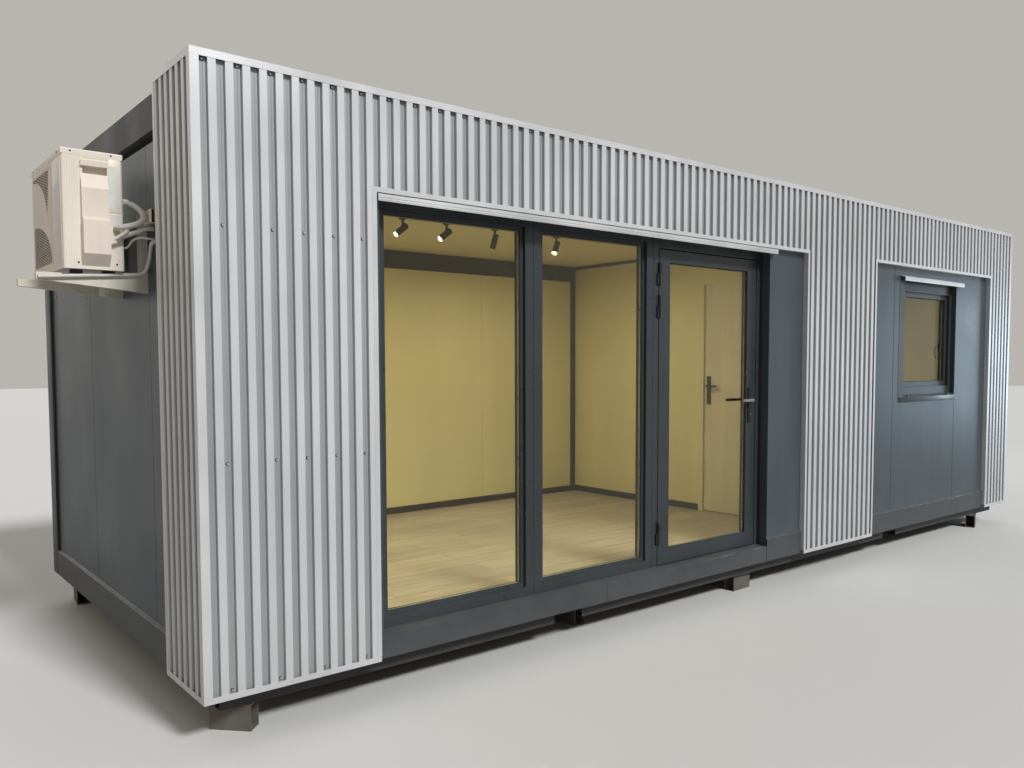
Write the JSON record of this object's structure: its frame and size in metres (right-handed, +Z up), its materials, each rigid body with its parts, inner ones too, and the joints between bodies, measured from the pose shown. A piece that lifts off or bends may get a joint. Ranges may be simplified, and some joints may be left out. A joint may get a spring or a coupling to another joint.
{
  "type": "portable site cabin",
  "caption": "Portable site cabin with a ribbed silver front, full-height glazing, a glazed entrance door, a partitioned second room and a wall-hung cooling unit.",
  "frame": {"origin": "centre of the bounding box in plan, on the ground under the support blocks", "axes": "+X along the ribbed front from its left end to its right end, +Y from the front to the back wall, +Z up"},
  "size_m": [8.5566, 3.018, 2.9015],
  "materials": {
    "support_steel": "rough",
    "frame_steel": "satin",
    "roof_sheet": "satin",
    "anthracite_sheet": "satin",
    "anthracite_panel": "satin",
    "silver_sheet": "satin",
    "silver_trim": "satin",
    "bare_aluminium": "satin",
    "timber": "sawn",
    "frame_profile": "satin",
    "clear_pane": "polished",
    "dark_fitting": "satin",
    "steel_handle": "brushed",
    "bronze_handle": "satin",
    "cream_lining": "matt",
    "inner_leaf": "painted",
    "oak_laminate": "satin",
    "floor_board": "raw",
    "dark_trim": "matt",
    "lamp_body": "satin",
    "ivory_casing": "satin",
    "ivory_plastic": "satin",
    "ivory_bracket": "satin",
    "black_rubber": "matt",
    "pipe_sleeve": "matt",
    "grey_hose": "matt"
  },
  "bodies": {
    "cabin": {"support_blocks": "support_steel", "base_rails": "frame_steel", "cross_members": "frame_steel", "posts": "frame_steel", "ring_beams": "frame_steel", "roof_panels": "roof_sheet", "roof_fascia": "anthracite_sheet", "floor_deck": "floor_board", "laminate_floor": "oak_laminate", "left_wall": "anthracite_panel", "right_wall": "anthracite_panel", "back_wall": "anthracite_panel", "front_wall_left": "anthracite_panel", "front_wall_header": "anthracite_panel", "front_wall_right": "anthracite_panel", "wall_linings": "cream_lining", "window_wall_lining": "cream_lining", "base_flashing": "anthracite_sheet", "cladding_piers": "silver_sheet", "cladding_headers": "silver_sheet", "cladding_returns": "silver_sheet", "battens": "timber", "cladding_cap": "silver_trim", "cladding_trims": "silver_trim", "window_frames": "frame_profile", "window_glass": "clear_pane", "door_frame": "frame_profile", "door_hinge_pins": "dark_fitting", "head_drips": "bare_aluminium", "window_lining": "anthracite_sheet", "window_sill": "anthracite_sheet", "small_window_frame": "frame_profile", "small_window_sash": "frame_profile", "small_window_glass": "clear_pane", "small_window_handle": "dark_fitting", "partition": "cream_lining", "inner_door_frame": "inner_leaf", "inner_hinge_pins": "steel_handle", "skirting": "dark_trim", "partition_trim": "dark_trim", "spotlights": "lamp_body", "unit_casing": "ivory_casing", "unit_guard": "ivory_plastic", "unit_cover": "ivory_plastic", "unit_brackets": "ivory_bracket", "unit_feet": "black_rubber", "unit_pipes": "pipe_sleeve", "drain_hose": "grey_hose"},
    "entrance_leaf": {"door_leaf": "frame_profile", "door_glass": "clear_pane", "door_hinge_knuckles": "dark_fitting", "door_plates": "dark_fitting"},
    "entrance_lever": {"door_lever": "dark_fitting"},
    "inner_leaf": {"inner_door_leaf": "inner_leaf", "inner_hinge_knuckles": "steel_handle", "inner_door_plates": "bronze_handle"},
    "inner_lever": {"inner_door_lever": "bronze_handle"}
  },
  "joints": [
    {"name": "entrance_door", "type": "hinge", "parent": "cabin", "child": "entrance_leaf", "pos_m": [-0.87875, -1.39775, 0.318], "axis": [0, 0, -1], "range_deg": [0, 95]},
    {"name": "entrance_lever_turn", "type": "hinge", "parent": "entrance_leaf", "child": "entrance_lever", "pos_m": [0.08775, -1.38725, 1.361], "axis": [0, -1, 0], "range_deg": [0, 40], "stiffness_Nm_per_rad": 3, "springref_deg": -20.05},
    {"name": "inner_door", "type": "hinge", "parent": "cabin", "child": "inner_leaf", "pos_m": [1.07025, -1.05475, 0.315], "axis": [0, 0, -1], "range_deg": [0, 90]},
    {"name": "inner_lever_turn", "type": "hinge", "parent": "inner_leaf", "child": "inner_lever", "pos_m": [1.06175, -0.31025, 1.42], "axis": [1, 0, 0], "range_deg": [0, 40], "stiffness_Nm_per_rad": 3, "springref_deg": -20.05}
  ]
}
